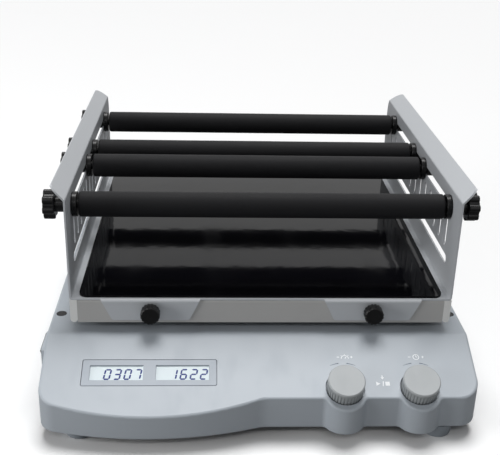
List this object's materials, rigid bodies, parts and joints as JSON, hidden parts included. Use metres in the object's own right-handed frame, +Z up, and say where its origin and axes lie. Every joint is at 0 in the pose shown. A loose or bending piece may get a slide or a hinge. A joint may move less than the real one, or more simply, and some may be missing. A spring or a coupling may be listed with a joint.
{
  "type": "orbital shaker",
  "caption": "Bench orbital shaker: low base with a sloped control panel and a slotted tray on an orbiting platform, with padded bars that clamp vessels.",
  "frame": {"origin": "on the bench, under the middle of the base", "axes": "+X to the right as seen from the control panel, +Y to the back, +Z up"},
  "size_m": [0.3785, 0.423, 0.1997],
  "materials": {
    "housing": "satin",
    "bezel": "satin",
    "display_glass": "glossy",
    "pan_steel": "satin",
    "foot_rubber": "matt",
    "screw_steel": "satin",
    "black_plastic": "glossy",
    "matte_black": "matt",
    "circuit_board": "satin",
    "knob_grey": "satin",
    "cast_aluminium": "satin",
    "machined_steel": "machined",
    "bearing_steel": "polished",
    "belt_rubber": "matt",
    "supply_case": "brushed",
    "skirt": "satin",
    "rail": "satin",
    "tray_sheet": "satin",
    "mat_rubber": "glossy",
    "foam": "matt"
  },
  "bodies": {
    "base": {"housing_shell": "housing", "base_pan": "pan_steel", "rubber_feet": "foot_rubber", "case_screws": "screw_steel", "screw_plugs": "matte_black", "display_bezel": "bezel", "speed_display": "display_glass", "timer_display": "display_glass", "control_board": "circuit_board", "encoder_bodies": "machined_steel", "spindle_housing": "cast_aluminium", "spindle_bearings": "bearing_steel", "motor_body": "matte_black", "drive_belt": "belt_rubber", "idler_posts": "cast_aluminium", "power_supply": "supply_case", "driver_board": "circuit_board", "mains_inlet": "matte_black", "serial_port": "machined_steel", "rocker_frame": "matte_black"},
    "crank": {"crank_shaft": "machined_steel", "drive_pulley": "cast_aluminium", "counterweight": "machined_steel"},
    "motor_rotor": {"motor_pulley": "machined_steel"},
    "platform": {"platform_plate": "skirt", "platform_rails": "rail", "platform_hub": "cast_aluminium", "hub_bearings": "bearing_steel", "idler_cups": "cast_aluminium", "attachment_tray": "tray_sheet", "mat": "mat_rubber"},
    "idler_1": {"idler_crank_1": "machined_steel"},
    "idler_2": {"idler_crank_2": "machined_steel"},
    "idler_3": {"idler_crank_3": "machined_steel"},
    "idler_4": {"idler_crank_4": "machined_steel"},
    "speed_shaft": {"speed_encoder_shaft": "machined_steel"},
    "speed_dial": {"speed_knob": "knob_grey"},
    "timer_shaft": {"timer_encoder_shaft": "machined_steel"},
    "timer_dial": {"timer_knob": "knob_grey"},
    "rocker": {"power_rocker": "black_plastic"},
    "bar_1": {"bar_rod_1": "black_plastic", "bar_sleeve_1": "foam"},
    "star_1_left": {"star_knob_1_left": "black_plastic"},
    "star_1_right": {"star_knob_1_right": "black_plastic"},
    "bar_2": {"bar_rod_2": "black_plastic", "bar_sleeve_2": "foam"},
    "star_2_left": {"star_knob_2_left": "black_plastic"},
    "star_2_right": {"star_knob_2_right": "black_plastic"},
    "bar_3": {"bar_rod_3": "black_plastic", "bar_sleeve_3": "foam"},
    "star_3_left": {"star_knob_3_left": "black_plastic"},
    "star_3_right": {"star_knob_3_right": "black_plastic"},
    "bar_4": {"bar_rod_4": "black_plastic", "bar_sleeve_4": "foam"},
    "star_4_left": {"star_knob_4_left": "black_plastic"},
    "star_4_right": {"star_knob_4_right": "black_plastic"},
    "thumb_front_left": {"thumb_screw_front_left": "black_plastic"},
    "thumb_front_right": {"thumb_screw_front_right": "black_plastic"},
    "thumb_rear_left": {"thumb_screw_rear_left": "black_plastic"},
    "thumb_rear_right": {"thumb_screw_rear_right": "black_plastic"}
  },
  "joints": [
    {"name": "crank_spin", "type": "hinge", "parent": "base", "child": "crank", "pos_m": [0, 0.0385, 0.0695], "axis": [0, 0, 1], "continuous": true},
    {"name": "platform_turn", "type": "hinge", "parent": "crank", "child": "platform", "pos_m": [0.00225, 0.03404, 0.072], "axis": [0, 0, 1], "continuous": true},
    {"name": "motor_spin", "type": "hinge", "parent": "base", "child": "motor_rotor", "pos_m": [0, 0.1465, 0.057], "axis": [0, 0, 1], "continuous": true},
    {"name": "idler_1_spin", "type": "hinge", "parent": "base", "child": "idler_1", "pos_m": [-0.118, -0.0665, 0.0673], "axis": [0, 0, 1], "continuous": true},
    {"name": "idler_2_spin", "type": "hinge", "parent": "base", "child": "idler_2", "pos_m": [0.118, -0.0665, 0.0673], "axis": [0, 0, 1], "continuous": true},
    {"name": "idler_3_spin", "type": "hinge", "parent": "base", "child": "idler_3", "pos_m": [-0.118, 0.1435, 0.0673], "axis": [0, 0, 1], "continuous": true},
    {"name": "idler_4_spin", "type": "hinge", "parent": "base", "child": "idler_4", "pos_m": [0.118, 0.1435, 0.0673], "axis": [0, 0, 1], "continuous": true},
    {"name": "speed_turn", "type": "hinge", "parent": "base", "child": "speed_shaft", "pos_m": [0.06963, -0.18686, 0.04441], "axis": [0, -0.4099, 0.9121], "continuous": true},
    {"name": "speed_push", "type": "slide", "parent": "speed_shaft", "child": "speed_dial", "axis": [0, 0.4099, -0.9121], "range_m": [0, 0.0008], "stiffness_N_per_m": 3000},
    {"name": "timer_turn", "type": "hinge", "parent": "base", "child": "timer_shaft", "pos_m": [0.13203, -0.18686, 0.04441], "axis": [0, -0.4099, 0.9121], "continuous": true},
    {"name": "timer_push", "type": "slide", "parent": "timer_shaft", "child": "timer_dial", "axis": [0, 0.4099, -0.9121], "range_m": [0, 0.0008], "stiffness_N_per_m": 3000},
    {"name": "rocker_tilt", "type": "hinge", "parent": "base", "child": "rocker", "pos_m": [-0.1842, -0.1276, 0.045], "axis": [0, 1, 0], "range_deg": [0, 16]},
    {"name": "bar_1_slide", "type": "slide", "parent": "platform", "child": "bar_1", "axis": [0, 1, 0], "range_m": [-0.002, 0.035]},
    {"name": "star_1_left_turn", "type": "hinge", "parent": "bar_1", "child": "star_1_left", "pos_m": [-0.17475, -0.09656, 0.171], "axis": [-1, 0, 0], "continuous": true},
    {"name": "star_1_right_turn", "type": "hinge", "parent": "bar_1", "child": "star_1_right", "pos_m": [0.17925, -0.09656, 0.171], "axis": [1, 0, 0], "continuous": true},
    {"name": "bar_2_slide", "type": "slide", "parent": "platform", "child": "bar_2", "axis": [0, 1, 0], "range_m": [-0.035, 0.009]},
    {"name": "star_2_left_turn", "type": "hinge", "parent": "bar_2", "child": "star_2_left", "pos_m": [-0.17475, 0.00283, 0.171], "axis": [-1, 0, 0], "continuous": true},
    {"name": "star_2_right_turn", "type": "hinge", "parent": "bar_2", "child": "star_2_right", "pos_m": [0.17925, 0.00283, 0.171], "axis": [1, 0, 0], "continuous": true},
    {"name": "bar_3_slide", "type": "slide", "parent": "platform", "child": "bar_3", "axis": [0, 1, 0], "range_m": [-0.009, 0.036]},
    {"name": "star_3_left_turn", "type": "hinge", "parent": "bar_3", "child": "star_3_left", "pos_m": [-0.17475, 0.04804, 0.171], "axis": [-1, 0, 0], "continuous": true},
    {"name": "star_3_right_turn", "type": "hinge", "parent": "bar_3", "child": "star_3_right", "pos_m": [0.17925, 0.04804, 0.171], "axis": [1, 0, 0], "continuous": true},
    {"name": "bar_4_slide", "type": "slide", "parent": "platform", "child": "bar_4", "axis": [0, 1, 0], "range_m": [-0.036, 0.018]},
    {"name": "star_4_left_turn", "type": "hinge", "parent": "bar_4", "child": "star_4_left", "pos_m": [-0.17475, 0.14833, 0.171], "axis": [-1, 0, 0], "continuous": true},
    {"name": "star_4_right_turn", "type": "hinge", "parent": "bar_4", "child": "star_4_right", "pos_m": [0.17925, 0.14833, 0.171], "axis": [1, 0, 0], "continuous": true},
    {"name": "thumb_front_left_turn", "type": "hinge", "parent": "platform", "child": "thumb_front_left", "pos_m": [-0.09375, -0.13096, 0.087], "axis": [0, -1, 0], "continuous": true},
    {"name": "thumb_front_right_turn", "type": "hinge", "parent": "platform", "child": "thumb_front_right", "pos_m": [0.09825, -0.13096, 0.087], "axis": [0, -1, 0], "continuous": true},
    {"name": "thumb_rear_left_turn", "type": "hinge", "parent": "platform", "child": "thumb_rear_left", "pos_m": [-0.09375, 0.19903, 0.087], "axis": [0, 1, 0], "continuous": true},
    {"name": "thumb_rear_right_turn", "type": "hinge", "parent": "platform", "child": "thumb_rear_right", "pos_m": [0.09825, 0.19903, 0.087], "axis": [0, 1, 0], "continuous": true}
  ],
  "couplings": [
    {"joint": "platform_turn", "follows": "crank_spin", "ratio": -1},
    {"joint": "motor_spin", "follows": "crank_spin", "ratio": 4},
    {"joint": "idler_1_spin", "follows": "crank_spin", "ratio": 1},
    {"joint": "idler_2_spin", "follows": "crank_spin", "ratio": 1},
    {"joint": "idler_3_spin", "follows": "crank_spin", "ratio": 1},
    {"joint": "idler_4_spin", "follows": "crank_spin", "ratio": 1}
  ]
}
